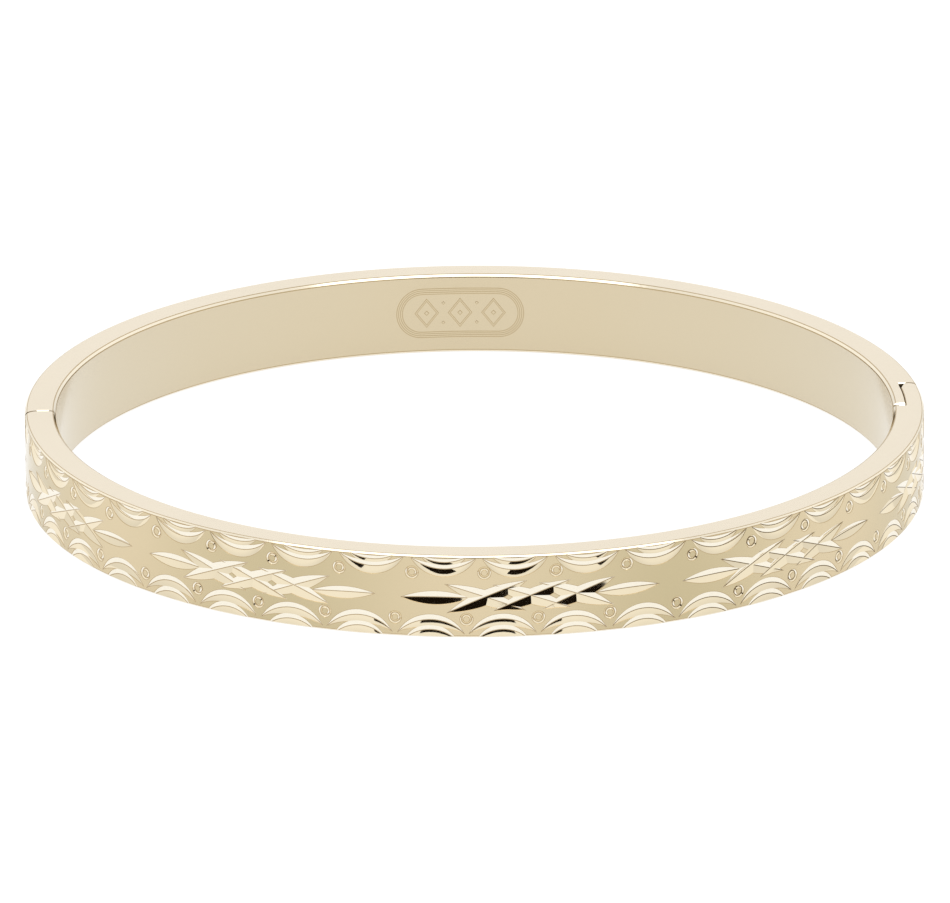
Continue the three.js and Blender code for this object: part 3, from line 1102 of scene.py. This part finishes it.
def matte(name, shade):
    """A material of the studio, with no gloss, and its shader."""
    material, _, _, shader = material_base(name, shade, 0.9, 0.0)
    shader.inputs["Specular IOR Level"].default_value = 0.0
    return material, shader


def floor():
    """A pale floor that glows a little, so that it stays white all over."""
    bpy.ops.mesh.primitive_plane_add(size=6)
    plane = bpy.context.object
    plane.name = "floor"
    material, shader = matte("floor_white", (0.2, 0.2, 0.2))
    shader.inputs["Emission Color"].default_value = (1, 1, 1, 1)
    shader.inputs["Emission Strength"].default_value = 0.87
    plane.data.materials.append(material)


def overhead_light(place, size, power):
    """A soft light that faces straight down."""
    light = bpy.data.lights.new("overhead", "AREA")
    light.shape = "RECTANGLE"
    light.size, light.size_y = size
    light.energy = power
    holder = bpy.data.objects.new("overhead", light)
    holder.location = place
    bpy.context.scene.collection.objects.link(holder)


def dark_card(low, high, left, right, shade):
    """A dark upright card behind the camera that only reflections see, between elevations low and
    high, and between left and right of the middle, all in degrees."""
    away = 1.5
    columns = [away * math.tan(math.radians(turn)) for turn in (left, right)]
    rows = [away * math.tan(math.radians(turn)) for turn in (low, high)]
    mesh = bpy.data.meshes.new("card_front")
    mesh.from_pydata([(x, -away, z) for z in rows for x in columns], [], [(0, 1, 3, 2)])
    mesh.materials.append(matte("card_front", shade)[0])
    card = bpy.data.objects.new("card_front", mesh)
    bpy.context.scene.collection.objects.link(card)
    card.visible_camera = False
    card.visible_shadow = False
    card.visible_diffuse = False


def world():
    """Pale studio walls: a dimmer band at the horizon, brightest above it."""
    made = bpy.data.worlds.new("studio")
    bpy.context.scene.world = made
    made.use_nodes = True
    nodes, links = made.node_tree.nodes, made.node_tree.links
    place = nodes.new("ShaderNodeTexCoord")
    split = nodes.new("ShaderNodeSeparateXYZ")
    links.new(place.outputs["Generated"], split.inputs["Vector"])
    ramp = nodes.new("ShaderNodeValToRGB")
    stops = ((0.0, 0.8), (0.12, 0.86), (0.26, 0.97), (0.6, 1.0), (1.0, 0.8))
    elements = ramp.color_ramp.elements
    elements[0].position, elements[1].position = stops[0][0], stops[-1][0]
    for position, _ in stops[1:-1]:
        elements.new(position)
    for element, (_, shade) in zip(elements, stops):
        element.color = (shade, shade, shade, 1)
    links.new(split.outputs["Z"], ramp.inputs["Fac"])
    background = nodes["Background"]
    background.inputs["Strength"].default_value = 1.12
    links.new(ramp.outputs["Color"], background.inputs["Color"])


def camera():
    """The photo's viewpoint: a long lens from the front, looking down at the band."""
    elevation, roll = math.radians(19.07), math.radians(0.15)
    distance, aside, below = 1.0216, 0.000029, 0.000386
    data = bpy.data.cameras.new("camera")
    data.sensor_width = 36
    data.lens = 543.2
    data.clip_start, data.clip_end = 0.05, 20
    holder = bpy.data.objects.new("camera", data)
    back = Vector((0, -math.cos(elevation), math.sin(elevation)))
    right, up = Vector((1, 0, 0)), Vector((0, math.sin(elevation), math.cos(elevation)))
    right, up = (
        right * math.cos(roll) - up * math.sin(roll),
        right * math.sin(roll) + up * math.cos(roll),
    )
    centre = Vector((0, 0, HEIGHT / 2 * MM))
    place = centre + back * distance + right * aside - up * below
    matrix = Matrix((right, up, back)).transposed().to_4x4()
    matrix.translation = place
    holder.matrix_world = matrix
    bpy.context.scene.collection.objects.link(holder)
    bpy.context.scene.camera = holder


def main():
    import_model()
    bpy.context.scene.view_settings.view_transform = "Standard"
    camera()
    world()
    floor()
    dark_card(15.5, 32, -18, 16, (0.008, 0.005, 0.003))
    overhead_light((0, -0.475, 1.3), (1.7, 0.55), 3.9)

    golds = [gold("gold_" + name, *GOLDS[name]) for name in FINISHES_AND_PAINTED_LIGHT]
    band = engrave(band_ring())
    settle(front_half(band), "front", ["front_half"], golds)
    settle(back_half(band), "back", ["back_half"], golds)
    bpy.data.objects.remove(band)

    spring = steel("spring_steel", (0.62, 0.61, 0.59), 0.3)
    plain = steel("pin_steel", (0.58, 0.57, 0.56), 0.35)
    catch_centre = catch_point(CATCH_PIN_AT, CATCH_PIN_OFFSET)
    hinge_pin = pin(HINGE_AXIS, PIN_RADIUS, PIN_LOW, PIN_HIGH, "hinge_pin_steel")
    settle(hinge_pin, "front", ["hinge_pin"], [plain])
    span = CATCH_PIN_LOW, CATCH_PIN_HIGH
    catch_pin = pin(catch_centre, CATCH_PIN_RADIUS, *span, "catch_pin_steel")
    settle(catch_pin, "back", ["catch_pin"], [plain])
    settle(tongue_strip(), "front", ["catch_tongue"], [spring])
    settle(leaf_strip(), "leaf", ["spring_leaf"], [spring])


main()
